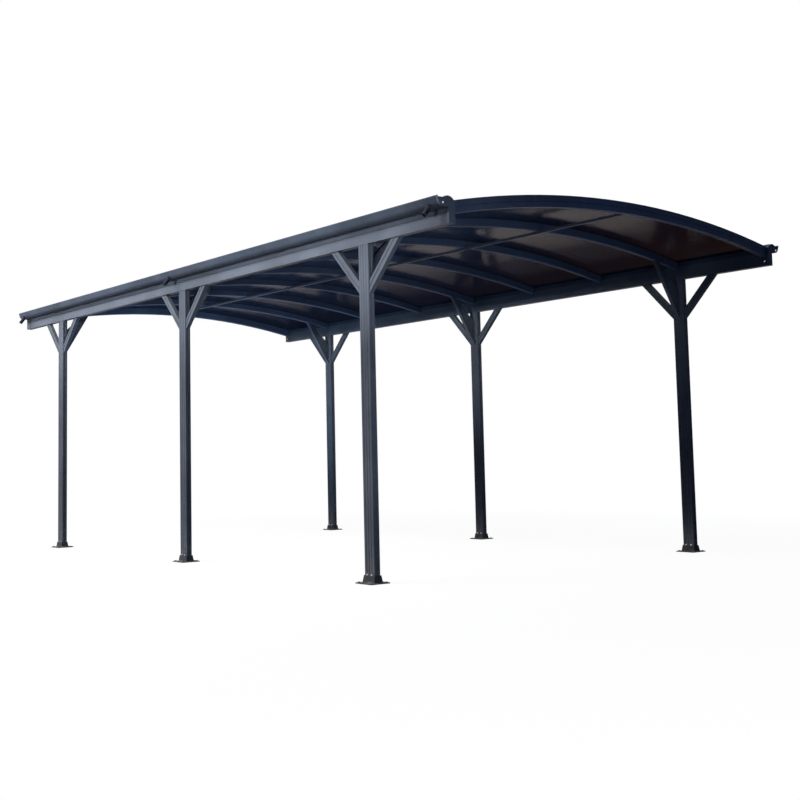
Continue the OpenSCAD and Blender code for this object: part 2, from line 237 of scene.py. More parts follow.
def buildGroundDust():
    # dust thrown up from the ground and dust that settles on upward faces
    group, source, sink = newGroup("groundDust", [
        ("Reach", "NodeSocketFloat", 0.25),
        ("Splash", "NodeSocketFloat", 0.5),
        ("Settled", "NodeSocketFloat", 0.3),
    ], [("Mask", "NodeSocketFloat")])
    coords = objectCoords(group, (-900, 300))
    height = splitVector(group, (-700, 300), coords)[2]
    normal = addNode(group, "ShaderNodeNewGeometry", (-900, 100)).outputs["Normal"]
    upward = splitVector(group, (-700, 100), normal)[2]
    patch = cloudNode(group, (-300, -100), coords, *dustMarks["patch"])
    ratio = mathNode(group, "DIVIDE", (-500, 300), height, source.outputs["Reach"])
    low = rangeNode(group, (-300, 300), ratio, 0.0, 1.0, 1.0, 0.0)
    splash = mathNode(group, "MULTIPLY", (-140, 300), low, patch)
    splash = mathNode(group, "MULTIPLY", (0, 300), splash, source.outputs["Splash"])
    top = rangeNode(group, (-300, 100), upward, *dustMarks["upward"])
    settled = mathNode(group, "MULTIPLY", (-140, 100), top, patch)
    settled = mathNode(group, "MULTIPLY", (0, 100), settled, source.outputs["Settled"])
    feed(group, sink, Mask=mathNode(group, "MAXIMUM", (200, 200), splash, settled))
    return group


edgeLightMarks = {
    "patch": (18.0, 5.0, (0.3, 0.7, 0.25, 1.0)),
    "edge": (0.9, 0.995, 1.0, 0.0),  # how far the rounded and the true normal agree
    "edgeSamples": 4,
    "groove": (0.35, 0.90, 1.0, 0.0),
    "creaseShadeReach": 0.012,
    "creaseShadeSamples": 6,
}


def buildEdgeRub():
    # coat a little lighter along the sharp edges, partly rubbed wear and partly painted highlight, and painted
    # shade darkening the grooves
    group, source, sink = newGroup("edgeLightAndCreaseShade", [
        ("Width", "NodeSocketFloat", 0.003),
        ("Amount", "NodeSocketFloat", 0.4),
    ], [("Mask", "NodeSocketFloat"), ("Groove", "NodeSocketFloat")])
    m = edgeLightMarks
    coords = objectCoords(group, (-900, 300))
    bevel = addNode(group, "ShaderNodeBevel", (-600, 100), samples=m["edgeSamples"])
    feed(group, bevel, Radius=source.outputs["Width"])
    normal = addNode(group, "ShaderNodeNewGeometry", (-600, -100)).outputs["Normal"]
    dot = addNode(group, "ShaderNodeVectorMath", (-400, 100), operation="DOT_PRODUCT")
    feed(group, dot, i0=bevel.outputs[0], i1=normal)
    edge = rangeNode(group, (-200, 100), dot.outputs["Value"], *m["edge"])
    patch = cloudNode(group, (-200, -100), coords, *m["patch"])
    mask = mathNode(group, "MULTIPLY", (0, 100), edge, patch)
    mask = mathNode(group, "MULTIPLY", (160, 100), mask, source.outputs["Amount"])
    # painted shade: ambient occlusion darkens grooves, creases and joints
    openSky = addNode(group, "ShaderNodeAmbientOcclusion", (-400, -400), samples=m["creaseShadeSamples"])
    feed(group, openSky, Distance=m["creaseShadeReach"])
    groove = rangeNode(group, (-200, -400), openSky.outputs["AO"], *m["groove"])
    feed(group, sink, Mask=mask, Groove=groove)
    return group


coatSkin = buildCoatSkin()
groundDust = buildGroundDust()
edgeLightAndCreaseShade = buildEdgeRub()


def useGroup(tree, group, place, **values):
    node = addNode(tree, "ShaderNodeGroup", place, node_tree=group)
    return feed(tree, node, **values).outputs


def newMaterial(name):
    material = bpy.data.materials.new(name)
    material.use_nodes = True
    tree = material.node_tree
    shader = tree.nodes["Principled BSDF"]
    shader.location = (400, 0)
    tree.nodes["Material Output"].location = (700, 0)
    return material, tree, shader


def bump(tree, place, height, distance, strength=0.3):
    node = addNode(tree, "ShaderNodeBump", place)
    feed(tree, node, Height=height, Distance=distance, Strength=strength)
    return node.outputs[0]


coatFinishes = {
    # tone, gloss, peel, rain runs, dust reach, splash, settled, edge wear and painted highlight
    "framePaint": ((0.066, 0.073, 0.089, 1), 0.46, 650, 0.07, 0.30, 0.35, 0.28, 0.55),
    # the frame's paint made lighter for the crown tie: painted light
    "tiePaintLit": ((0.110, 0.122, 0.150, 1), 0.46, 650, 0.02, 0.30, 0.0, 0.28, 0.35),
    "beamPaint": ((0.069, 0.077, 0.094, 1), 0.44, 650, 0.02, 0.30, 0.0, 0.30, 0.25),
    # the frame's paint made darker and bluer for the ribs and arches: painted shade
    "ribPaintShaded": ((0.060, 0.080, 0.124, 1), 0.48, 650, 0.02, 0.30, 0.0, 0.35, 0.08),
    "footPaint": ((0.046, 0.050, 0.057, 1), 0.55, 420, 0.06, 0.018, 1.0, 0.95, 0.35),
    "capPlastic": ((0.080, 0.095, 0.128, 1), 0.50, 900, 0.03, 0.30, 0.0, 0.25, 0.4),
}


# painted shade: the gutter's outer wall is darkened between these heights
gutterShade = {
    "heights": (2.088, 2.100, 2.180, 2.196),  # it starts, is full, thins out and ends
    "keep": (0.50, 0.55, 0.62, 1),            # what the painted shade leaves of the coat's colour
    "patch": (5.0, 4.0, (0.25, 0.7, 0.65, 1.0)),
}


def addGrime(tree, colour):
    # painted shade on the outer wall of the gutter, in patches along it
    start, full, thin, end = gutterShade["heights"]
    coords = objectCoords(tree, (-900, 900))
    height = splitVector(tree, (-700, 900), coords)[2]
    rise = rangeNode(tree, (-500, 900), height, start, full, 0.0, 1.0)
    fall = rangeNode(tree, (-500, 700), height, thin, end, 1.0, 0.0)
    patch = cloudNode(tree, (-500, 1100), coords, *gutterShade["patch"])
    amount = mathNode(tree, "MULTIPLY", (-350, 900), rise, fall)
    amount = mathNode(tree, "MULTIPLY", (-200, 900), amount, patch)
    return mixColour(tree, (0, 500), amount, colour, gutterShade["keep"], "MULTIPLY")


coatWear = {
    "paler": (2.1, 0.02),                 # factor and lift of the tone at the edges, rubbed wear and painted highlight
    "held": 0.6,                          # share of the painted shade that darkens the grooves and creases
    "creaseShadeKeep": (0.25, 0.25, 0.28, 1),  # what the painted crease shade leaves of the coat's colour
    "dust": (0.20, 0.185, 0.165, 1),
    "dustRough": 0.3,
    "specular": 0.018,
    "peelHeight": 0.0004,
}


def makeCoat(name, tone, gloss, peel, runs, reach, splash, settled, edgeWearAndHighlight):
    w = coatWear
    material, tree, shader = newMaterial(name)
    skin = useGroup(tree, coatSkin, (-500, 200), Tone=tone, Gloss=gloss, Peel_Scale=peel, Runs=runs)
    dust = useGroup(tree, groundDust, (-500, -100), Reach=reach, Splash=splash, Settled=settled)
    edgeAndCrease = useGroup(tree, edgeLightAndCreaseShade, (-500, -300), Amount=edgeWearAndHighlight)
    # lighter edges: rubbed wear and painted highlight
    factor, lift = w["paler"]
    paler = tuple(min(1.0, c * factor + lift) for c in tone[:3]) + (1,)
    colour = mixColour(tree, (-200, 200), edgeAndCrease["Mask"], skin["Color"], paler)
    # the beam's gutter wall gets the painted shade
    if name == "beamPaint":
        colour = addGrime(tree, colour)
    # painted shade in the grooves and creases
    held = mathNode(tree, "MULTIPLY", (-200, 400), edgeAndCrease["Groove"], w["held"])
    colour = mixColour(tree, (0, 400), held, colour, w["creaseShadeKeep"], "MULTIPLY")
    colour = mixColour(tree, (0, 200), dust["Mask"], colour, w["dust"])
    dusty = mathNode(tree, "MULTIPLY", (-200, -50), dust["Mask"], w["dustRough"])
    rough = mathNode(tree, "ADD", (0, -50), skin["Roughness"], dusty)
    feed(tree, shader, Base_Color=colour, Roughness=rough, Specular_IOR_Level=w["specular"],
         Normal=bump(tree, (100, -250), skin["Height"], w["peelHeight"]))
    return material


coats = {name: makeCoat(name, *values) for name, values in coatFinishes.items()}
print("coats made:", len(coats))


sheetLook = {
    "clear": (0.98, 0.96, 0.93, 1),  # along the crown
    "shadedTone": (0.50, 0.50, 0.50, 1),   # towards the eaves and beside the ribs: painted shade
    "eaveFade": (0.0, 1.15),         # distances from the crown line
    "ribFade": (0.02, 0.26),         # distances from the nearest rib
    "ribShadeKeep": 0.45,                # share of the crown tone left against a rib, the rest painted shade
    "smear": (1.0, 2.0, (0.2, 0.8, -0.12, 0.12), (2.2, 0.7, 0.7)),
    "film": (2.2, 5.0, None, 3.7),   # not stretched, but shifted
    "filmSpan": (0.3, 0.7),
    "patchy": (0.92, 1.05),
    "rough": (0.012, 0.03),
    "wave": (1.0, 2.0, (2.5, 5.0, 2.5)),
    "waveBump": (0.02, 0.04),        # height and strength
    "absorb": (0.425, 0.325, 0.26, 1),
    "density": 540.0,
    "ior": 1.002,
    "gloss": (0.030, 0.22),          # where the painted shade is full and where there is none
    "glossRough": 0.12,
    "glossIor": 1.5,
    "sheen": 0.17,
    "sheenTint": (0.36, 0.55, 1.0, 1),
    "sheenRough": 0.40,
}


def makeSheetMaterial(look):
    # bronze sheet: painted shade that darkens it and dulls its gloss towards the eaves and the ribs, with wiped
    # smears
    material, tree, shader = newMaterial("roofSheet")
    coords = objectCoords(tree, (-1300, 200))
    across, along, _ = splitVector(tree, (-1100, 400), coords)
    uneven = cloudNode(tree, (-700, 300), coords, *look["smear"])
    film = noiseNode(tree, (-900, 100), coords, *look["film"])
    away = mathNode(tree, "ABSOLUTE", (-700, 500), across)
    away = mathNode(tree, "ADD", (-500, 500), away, uneven)
    toEave = rangeNode(tree, (-340, 500), away, *look["eaveFade"], 1.0, 0.0)
    pitch = carport["ribPitch"]
    before = mathNode(tree, "PINGPONG", (-700, 700), along, pitch)
    behind = mathNode(tree, "SUBTRACT", (-600, 640), pitch, before)
    nearRib = mathNode(tree, "MINIMUM", (-500, 700), before, behind)
    offRib = rangeNode(tree, (-340, 700), nearRib, *look["ribFade"], look["ribShadeKeep"], 1.0)
    # painted shade: the sheet is darker and less glossy towards the eaves and beside the ribs
    cleanAndUnshaded = mathNode(tree, "MULTIPLY", (-180, 600), toEave, offRib)
    colour = mixColour(tree, (-20, 400), cleanAndUnshaded, look["shadedTone"], look["clear"])
    patchy = rangeNode(tree, (-220, 200), film, *look["filmSpan"], *look["patchy"])
    shaded = addNode(tree, "ShaderNodeVectorMath", (140, 300), operation="SCALE")
    feed(tree, shaded, i0=colour, Scale=patchy)
    rough = rangeNode(tree, (-100, 0), film, *look["filmSpan"], *look["rough"])
    wave = noiseNode(tree, (-500, -150), coords, *look["wave"])
    shadedGloss, unshadedGloss = look["gloss"]
    gloss = mathNode(tree, "MULTIPLY_ADD", (140, 100), cleanAndUnshaded, unshadedGloss - shadedGloss, shadedGloss)
    feed(tree, shader, Base_Color=shaded.outputs[0], Roughness=rough, IOR=look["ior"], Transmission_Weight=1.0,
         Coat_Weight=gloss, Coat_Roughness=look["glossRough"], Coat_IOR=look["glossIor"],
         Sheen_Weight=look["sheen"], Sheen_Roughness=look["sheenRough"], Sheen_Tint=look["sheenTint"],
         Normal=bump(tree, (100, -250), wave, *look["waveBump"]))
    volume = addNode(tree, "ShaderNodeVolumeAbsorption", (400, -400))
    feed(tree, volume, Color=look["absorb"], Density=look["density"])
    tree.links.new(volume.outputs[0], tree.nodes["Material Output"].inputs["Volume"])
    return material


sealLook = {
    "mottle": (14.0, 4.0),
    "patch": (0.4, 0.75, 0.0, 0.6),
    "tones": ((0.012, 0.013, 0.015, 1), (0.045, 0.046, 0.048, 1)),
    "rough": (0.3, 0.7, 0.6, 0.8),
    "grain": (1200.0, 2.0),
    "grainHeight": 0.0003,
    "specular": 0.2,
}
spoutLook = {
    "mottle": (160.0, 5.0),
    "patch": (0.5, 0.75, 0.0, 0.5),
    "tones": ((0.006, 0.010, 0.022, 1), (0.014, 0.019, 0.034, 1)),
    "rough": (0.35, 0.7, 0.05, 0.12),
    "grain": (160.0, 5.0),
    "grainHeight": 0.0004,
    "specular": 0.2,
}


def makeMottled(name, look):
    # rubber with a grey bloom, or a dark tube with faint scuffs round it
    material, tree, shader = newMaterial(name)
    coords = objectCoords(tree, (-900, 200))
    mottle = noiseNode(tree, (-500, 200), coords, *look["mottle"])
    patch = rangeNode(tree, (-300, 200), mottle, *look["patch"])
    colour = mixColour(tree, (-100, 200), patch, *look["tones"])
    rough = rangeNode(tree, (-100, 0), mottle, *look["rough"])
    grain = noiseNode(tree, (-500, -150), coords, *look["grain"])
    feed(tree, shader, Base_Color=colour, Roughness=rough, Specular_IOR_Level=look["specular"],
         Normal=bump(tree, (100, -250), grain, look["grainHeight"]))
    return material


steelFinishes = {
    # clean tone, stained tone, roughness where it is clean
    "screwZinc": ((0.72, 0.72, 0.70, 1), (0.40, 0.39, 0.37, 1), 0.22),
    "anchorSteel": ((0.16, 0.165, 0.175, 1), (0.09, 0.085, 0.08, 1), 0.40),
}
steelMarks = {
    "spangle": 420.0,
    "spangleShare": 0.25,
    "stain": (90.0, 4.0),
    "patch": (0.45, 0.75, 0.0, 0.7),
    "roughSpan": (0.3, 0.7),
    "stainRough": 0.2,
    "height": 0.0003,
}


def makeSteel(name, cleanAndUnshaded, stained, gloss):
    # zinc plated steel with a spangled, slightly stained skin
    m = steelMarks
    material, tree, shader = newMaterial(name)
    coords = objectCoords(tree, (-900, 200))
    spangle = addNode(tree, "ShaderNodeTexVoronoi", (-500, 200))
    feed(tree, spangle, Vector=coords, Scale=m["spangle"])
    stain = noiseNode(tree, (-500, 0), coords, *m["stain"])
    patch = rangeNode(tree, (-350, 0), stain, *m["patch"])
    colour = mixColour(tree, (-200, 200), patch, cleanAndUnshaded, stained)
    colour = mixColour(tree, (0, 200), m["spangleShare"], colour, spangle.outputs["Color"], "SOFT_LIGHT")
    rough = rangeNode(tree, (-100, 0), stain, *m["roughSpan"], gloss, gloss + m["stainRough"])
    feed(tree, shader, Base_Color=colour, Metallic=1.0, Roughness=rough,
         Normal=bump(tree, (100, -250), stain, m["height"]))
    return material


sheetMaterial = makeSheetMaterial(sheetLook)
rubberMaterial = makeMottled("sealRubber", sealLook)
spoutMaterial = makeMottled("spoutGloss", spoutLook)
steels = {name: makeSteel(name, *values) for name, values in steelFinishes.items()}
print("other finishes made")


# finishes on the frame's own solids

nodeFinishes = {
    "post_": "framePaint",
    "braces_": "framePaint",
    "foot_": "footPaint",
    "eave_beam_": "beamPaint",
    "end_caps_": "capPlastic",
    "rib_": "ribPaintShaded",
    "front_arch": "ribPaintShaded",
    "rear_arch": "ribPaintShaded",
    "crown_tie": "tiePaintLit",
}
for nodeName, solid in nodes.items():
    for start, finish in nodeFinishes.items():
        if nodeName.startswith(start):
            for materialSlot in solid.material_slots:
                materialSlot.material = coats[finish]
print("frame finished")


# mesh helpers

def meshPiece(name, build, material, smooth=True):
    bm = bmesh.new()
    build(bm)
    bmesh.ops.recalc_face_normals(bm, faces=bm.faces)
    mesh = bpy.data.meshes.new(name)
    bm.to_mesh(mesh)
    bm.free()
    mesh.materials.append(material)
    if smooth:
        mesh.shade_smooth()
    piece = bpy.data.objects.new(name, mesh)
    scene.collection.objects.link(piece)
    return piece


def sharpen(piece, degrees):
    # smooth shading that keeps the hard edges
    mesh = piece.data
    bm = bmesh.new()
    bm.from_mesh(mesh)
    for edge in bm.edges:
        edge.smooth = edge.calc_face_angle(0.0) < math.radians(degrees)
    bm.to_mesh(mesh)
    bm.free()


def circleAngles(count):
    return [2 * math.pi * k / count for k in range(count)]


def bridgeRings(bm, rings):
    # faces between each ring of vertices and the next
    for a, b in zip(rings, rings[1:]):
        for k in range(len(a)):
            n = (k + 1) % len(a)
            bm.faces.new((a[k], a[n], b[n], b[k]))


# roof sheets

roofSheet = {
    "thickness": 0.004,
    "edgeRound": 0.0009,
    "acrossSteps": 84,
    "alongSteps": 6,
    "hardEdge": 35,  # degrees
}


def buildSheet(low, high):
    def build(bm):
        t, r = roofSheet["thickness"], roofSheet["edgeRound"]
        along, across = roofSheet["alongSteps"], roofSheet["acrossSteps"]
        inner, outer = low.y + r, high.y - r
        under = [(0.0, inner + (outer - inner) * k / along) for k in range(along + 1)]
        over = [(t, y) for _, y in reversed(under)]
        section = under + [(r, high.y), (t - r, high.y)] + over + [(t - r, low.y), (r, low.y)]
        rings = []
        for k in range(across + 1):
            x = low.x + (high.x - low.x) * k / across
            rings.append([bm.verts.new((x, y, arcHeight(offset, x))) for offset, y in section])
        bridgeRings(bm, rings)
        bm.faces.new(rings[0])
        bm.faces.new(rings[-1])
    return build


for i in range(1, carport["ribCount"] + 2):
    nodeName = "roof_panel_" + str(i)
    sheet = meshPiece("roofSheet_" + str(i), buildSheet(*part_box(nodeName)), sheetMaterial)
    sharpen(sheet, roofSheet["hardEdge"])
    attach(sheet, "root")
    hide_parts(nodeName)
print("roof sheets made")


# drain spouts

drainSpout = {
    "axisX": 0.0613,    # middle of the gutter's round corner, out from the post line
    "axisZ": 0.128,
    "angle": 52.0,
    "cornerR": 0.036,
    "radius": 0.0150,
    "bore": 0.0118,
    "length": 0.066,
    "inset": 0.080,
    "root": 0.006,      # length inside the gutter's wall
    "seatGap": 0.0003,  # from the wall to the collar
    # way along from the seat or the end, and size past the tube or the bore
    "collar": ((0.0, 0.0), (0.0, 0.007), (0.0028, 0.007), (0.004, 0.0058), (0.0045, 0.0012), (0.0065, 0.0)),
    "lip": ((-0.012, 0.0), (-0.010, 0.0009), (-0.007, 0.0009), (-0.005, 0.0), (-0.0008, 0.0), (0.0, -0.0008)),
    "mouth": ((0.0, 0.0006), (-0.0015, 0.0)),
    "sides": 32,
    "hardEdge": 40,     # degrees
}


def spoutProfile():
    d = drainSpout
    root = d["cornerR"] - d["root"]
    seat, end = d["cornerR"] + d["seatGap"], d["cornerR"] + d["length"]
    outside = [(seat + along, d["radius"] + past) for along, past in d["collar"]]
    outside += [(end + along, d["radius"] + past) for along, past in d["lip"]]
    inside = [(end + along, d["bore"] + past) for along, past in d["mouth"]]
    return [(root, d["radius"])] + outside + inside + [(root, d["bore"])]


def spoutPlaces():
    end = carport["beamEndY"] - drainSpout["inset"]
    return (-end, drainSpout["inset"], end)


def buildSpouts(sign):
    def build(bm):
        d = drainSpout
        tilt = math.radians(d["angle"])
        axis = Vector((sign * math.cos(tilt), 0, -math.sin(tilt)))
        side = Vector((0, 1, 0))
        other = axis.cross(side)
        for y in spoutPlaces():
            start = Vector((sign * (carport["postX"] + d["axisX"]), y, carport["eaveZ"] + d["axisZ"]))
            rings = []
            for along, radius in spoutProfile():
                centre = start + axis * along
                rings.append([bm.verts.new(centre + (side * math.cos(a) + other * math.sin(a)) * radius)
                              for a in circleAngles(d["sides"])])
            bridgeRings(bm, rings + rings[:1])
    return build


for sideName, sign in (("left", -1), ("right", 1)):
    spouts = meshPiece("drainSpouts_" + sideName, buildSpouts(sign), spoutMaterial)
    sharpen(spouts, drainSpout["hardEdge"])
    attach(spouts, "root")
    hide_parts("drain_spouts_" + sideName)
print("drain spouts made")


# geometry node helpers

def newTree(name, inputs):
    tree = bpy.data.node_groups.new(name, "GeometryNodeTree")
    tree.is_modifier = True
    tree.interface.new_socket(name="Geometry", in_out="INPUT", socket_type="NodeSocketGeometry")
    for socketName, kind in inputs:
        tree.interface.new_socket(name=socketName, in_out="INPUT", socket_type=kind)
    tree.interface.new_socket(name="Geometry", in_out="OUTPUT", socket_type="NodeSocketGeometry")
    return tree, addNode(tree, "NodeGroupInput", (-1200, 0)), addNode(tree, "NodeGroupOutput", (1400, 0))


def runTree(name, carrier, tree, values, material):
    # evaluates the tree on the carrier and keeps the result as a plain mesh
    holder = bpy.data.objects.new(name + "_carrier", carrier)
    scene.collection.objects.link(holder)
    modifier = holder.modifiers.new("pattern", "NODES")
    modifier.node_group = tree
    for item in tree.interface.items_tree:
        if item.in_out == "INPUT" and item.name in values:
            modifier[item.identifier] = values[item.name]
    graph = bpy.context.evaluated_depsgraph_get()
    mesh = bpy.data.meshes.new_from_object(holder.evaluated_get(graph), depsgraph=graph)
    mesh.name = name
    bpy.data.objects.remove(holder)
    if not mesh.materials:
        mesh.materials.append(material)
    piece = bpy.data.objects.new(name, mesh)
    scene.collection.objects.link(piece)
    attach(piece, "root")
    return piece


# screws and bolts

headForm = {
    "wall": 0.62,  # shares of the head's height
    "crown": 0.38,
    "socket": -0.45,
    "fullTurn": 6.283,
    "merge": 0.00002,
}


def buildHeadTree():
    tree, source, sink = newTree("screwHeads", [
        ("Washer Radius", "NodeSocketFloat"), ("Washer Height", "NodeSocketFloat"),
        ("Head Ratio", "NodeSocketFloat"), ("Head Height", "NodeSocketFloat"),
        ("Crown Ratio", "NodeSocketFloat"), ("Socket Ratio", "NodeSocketFloat"),
        ("Sides", "NodeSocketInt"), ("Seed", "NodeSocketInt"), ("Material", "NodeSocketMaterial"),
    ])
    values = source.outputs
    base = addNode(tree, "GeometryNodeMeshCircle", (-1000, 200), fill_type="NGON")
    feed(tree, base, Vertices=values["Sides"], Radius=values["Washer Radius"])
    state = {"mesh": base.outputs[0], "top": None, "x": -800}

    def lift(height):
        step = addNode(tree, "GeometryNodeExtrudeMesh", (state["x"], 200), mode="FACES")
        feed(tree, step, Mesh=state["mesh"], Offset_Scale=height, Individual=False)
        if state["top"]:
            feed(tree, step, Selection=state["top"])
        state.update(mesh=step.outputs["Mesh"], top=step.outputs["Top"], x=state["x"] + 170)

    def narrow(ratio):
        step = addNode(tree, "GeometryNodeScaleElements", (state["x"], 200), domain="FACE")
        feed(tree, step, Geometry=state["mesh"], Selection=state["top"], Scale=ratio)
        state.update(mesh=step.outputs[0], x=state["x"] + 170)

    def part(share):
        return mathNode(tree, "MULTIPLY", (state["x"], -100), values["Head Height"], share)

    lift(values["Washer Height"])
    lift(0.0)
    narrow(values["Head Ratio"])
    lift(part(headForm["wall"]))
    lift(part(headForm["crown"]))
    narrow(values["Crown Ratio"])
    lift(0.0)
    narrow(values["Socket Ratio"])
    lift(part(headForm["socket"]))
    bottom = addNode(tree, "GeometryNodeMeshCircle", (-1000, -200), fill_type="NGON")
    feed(tree, bottom, Vertices=values["Sides"], Radius=values["Washer Radius"])
    flipped = addNode(tree, "GeometryNodeFlipFaces", (-800, -200))
    feed(tree, flipped, Mesh=bottom.outputs[0])
    join = addNode(tree, "GeometryNodeJoinGeometry", (700, 200))
    tree.links.new(state["mesh"], join.inputs[0])
    tree.links.new(flipped.outputs[0], join.inputs[0])
    merge = addNode(tree, "GeometryNodeMergeByDistance", (860, 200))
    feed(tree, merge, Geometry=join.outputs[0], Distance=headForm["merge"])
    aim = addNode(tree, "GeometryNodeInputNamedAttribute", (500, -200), data_type="FLOAT_VECTOR")
    feed(tree, aim, Name="aim")
    align = addNode(tree, "FunctionNodeAlignRotationToVector", (680, -200), axis="Z")
    feed(tree, align, Vector=aim.outputs[0])
    spin = addNode(tree, "FunctionNodeRandomValue", (500, -400), data_type="FLOAT")
    feed(tree, spin, i2=0.0, i3=headForm["fullTurn"], Seed=values["Seed"])
    turn = addNode(tree, "FunctionNodeAxisAngleToRotation", (680, -400))
    feed(tree, turn, Axis=(0, 0, 1), Angle=spin.outputs[1])
    twist = addNode(tree, "FunctionNodeRotateRotation", (860, -200), rotation_space="LOCAL")
    feed(tree, twist, Rotation=align.outputs[0], Rotate_By=turn.outputs[0])
    place = addNode(tree, "GeometryNodeInstanceOnPoints", (1020, 0))
    feed(tree, place, Points=values["Geometry"], Instance=merge.outputs[0], Rotation=twist.outputs[0])
    real = addNode(tree, "GeometryNodeRealizeInstances", (1180, 0))
    feed(tree, real, Geometry=place.outputs[0])
    paint = addNode(tree, "GeometryNodeSetMaterial", (1290, 0))
    feed(tree, paint, Geometry=real.outputs[0], Material=values["Material"])
    tree.links.new(paint.outputs[0], sink.inputs[0])
    return tree


headTree = buildHeadTree()


def pointCarrier(name, places):
    # one vertex for each screw, with the way that its head faces
    mesh = bpy.data.meshes.new(name)
    mesh.from_pydata([spot for spot, _ in places], [], [])
    aim = mesh.attributes.new("aim", "FLOAT_VECTOR", "POINT")
    for k, (_, way) in enumerate(places):
        aim.data[k].vector = Vector(way).normalized()
    return mesh


def makeHeads(name, places, sizes, material):
    values = dict(sizes, Material=material)
    piece = runTree(name, pointCarrier(name + "_places", places), headTree, values, material)
    return piece


bothWays = (-1, 1)

footScrews = {
    "height": 0.0500, "apart": 0.044,
    "head": {"Washer Radius": 0.0062, "Washer Height": 0.0010, "Head Ratio": 0.8, "Head Height": 0.0042,
             "Crown Ratio": 0.72, "Socket Ratio": 0.55, "Sides": 12, "Seed": 3},
}


def footScrewPlaces():
    f = footScrews
    for sign, y, face, k in product(bothWays, carport["rowY"], bothWays, bothWays):
        x = sign * carport["postX"] + face * carport["postW"] / 2
        yield (x, y + k * f["apart"] / 2, f["height"]), (face, 0, 0)


anchorBolts = {
    "dx": 0.108, "dy": 0.124, "plate": 0.006,
    "head": {"Washer Radius": 0.0100, "Washer Height": 0.0012, "Head Ratio": 0.74, "Head Height": 0.0036,
             "Crown Ratio": 0.9, "Socket Ratio": 0.6, "Sides": 6, "Seed": 5},
}


def anchorPlaces():
    a = anchorBolts
    for sign, y, across, along in product(bothWays, carport["rowY"], bothWays, bothWays):
        x = sign * carport["postX"] + across * a["dx"] / 2
        yield (x, y + along * a["dy"] / 2, a["plate"]), (0, 0, 1)


braceScrews = {
    "drop": 0.294, "reach": 0.290, "width": 0.050, "thick": 0.030, "channel": 0.003,
    "lowEnd": 0.045, "highEnd": 0.060,  # places along a side brace, from its lower and upper ends
    "knee": ((0.034, 0.122), (0.197, 0.354)),  # run and height on the inward brace, from its foot
    "head": {"Washer Radius": 0.0060, "Washer Height": 0.001, "Head Ratio": 0.82, "Head Height": 0.0034,
             "Crown Ratio": 0.7, "Socket Ratio": 0.5, "Sides": 12, "Seed": 7},
}


def barPoints(reach, rise):
    # middle of a leaning bar, near its two ends, as run and height from the foot of its lower edge
    b = braceScrews
    lean = math.atan2(rise, reach)
    across = Vector((-math.sin(lean), math.cos(lean))) * b["width"] / 2
    along = Vector((math.cos(lean), math.sin(lean)))
    length = math.hypot(reach, rise)
    return [across + along * b["lowEnd"], across + along * (length - b["highEnd"])]


def braceScrewPlaces():
    b = braceScrews
    footZ = carport["eaveZ"] - b["drop"]
    face = b["thick"] / 2 - b["channel"]
    for sign, y in product(bothWays, carport["rowY"]):
        for way, (run, height), k in product(bothWays, barPoints(b["reach"], b["drop"]), bothWays):
            x = sign * carport["postX"] + k * face
            yield (x, y + way * (carport["postD"] / 2 + run), footZ + height), (k, 0, 0)
        for (run, height), k in product(b["knee"], bothWays):
            x = sign * (carport["postX"] - carport["postW"] / 2 - run)
            yield (x, y + k * face, footZ + height), (0, k, 0)


capScrews = {
    "endX": 0.066, "endZ": 0.1095,  # on the end face, out from the post line and above the beam's foot
    "inY": 0.018, "beamIn": 0.022, "beamZ": (0.032, 0.088),  # two on the beam's inner face at each end
    "head": {"Washer Radius": 0.0062, "Washer Height": 0.0008, "Head Ratio": 0.84, "Head Height": 0.0036,
             "Crown Ratio": 0.7, "Socket Ratio": 0.5, "Sides": 12, "Seed": 9},
}


def capScrewPlaces():
    c = capScrews
    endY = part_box("end_caps_left")[1].y
    for sign, end in product(bothWays, bothWays):
        yield (sign * (carport["postX"] + c["endX"]), end * endY, carport["eaveZ"] + c["endZ"]), (0, end, 0)
        y = end * (carport["beamEndY"] - c["inY"])
        for z in c["beamZ"]:
            yield (sign * (carport["postX"] - c["beamIn"]), y, carport["eaveZ"] + z), (-sign, 0, 0)


screwSets = [
    ("footScrewHeads", footScrewPlaces, footScrews["head"], steels["screwZinc"], "foot_paint"),
    ("anchorBoltHeads", anchorPlaces, anchorBolts["head"], steels["anchorSteel"], "foot_paint"),
    ("braceScrewHeads", braceScrewPlaces, braceScrews["head"], coats["framePaint"], "frame_paint"),
    ("capScrewHeads", capScrewPlaces, capScrews["head"], steels["screwZinc"], "cap_plastic"),
]
for setName, places, head, material, slot in screwSets:
    made = makeHeads(setName, list(places()), head, material)
    print(setName, len(made.data.polygons), "faces")


# rubber seals along the sheets' edges

sheetSeals = {
    "ribHalf": 0.020, "capHalf": 0.022,  # half the width of a rib and of its cap
    "ribGap": 0.0004, "capGap": 0.0006,  # from there to the bead's middle
    "lift": 0.0008,                      # from the sheet's faces to the bead's middle
    "spanIn": 1.4377, "steps": 48,       # half the width that a bead crosses
    "eaveIn": 0.0110, "eaveLift": 0.0010, "eaveSteps": 16,  # along the eave beams
    "bead": {"Bead Radius": 0.0022, "Bead Sides": 8},
}


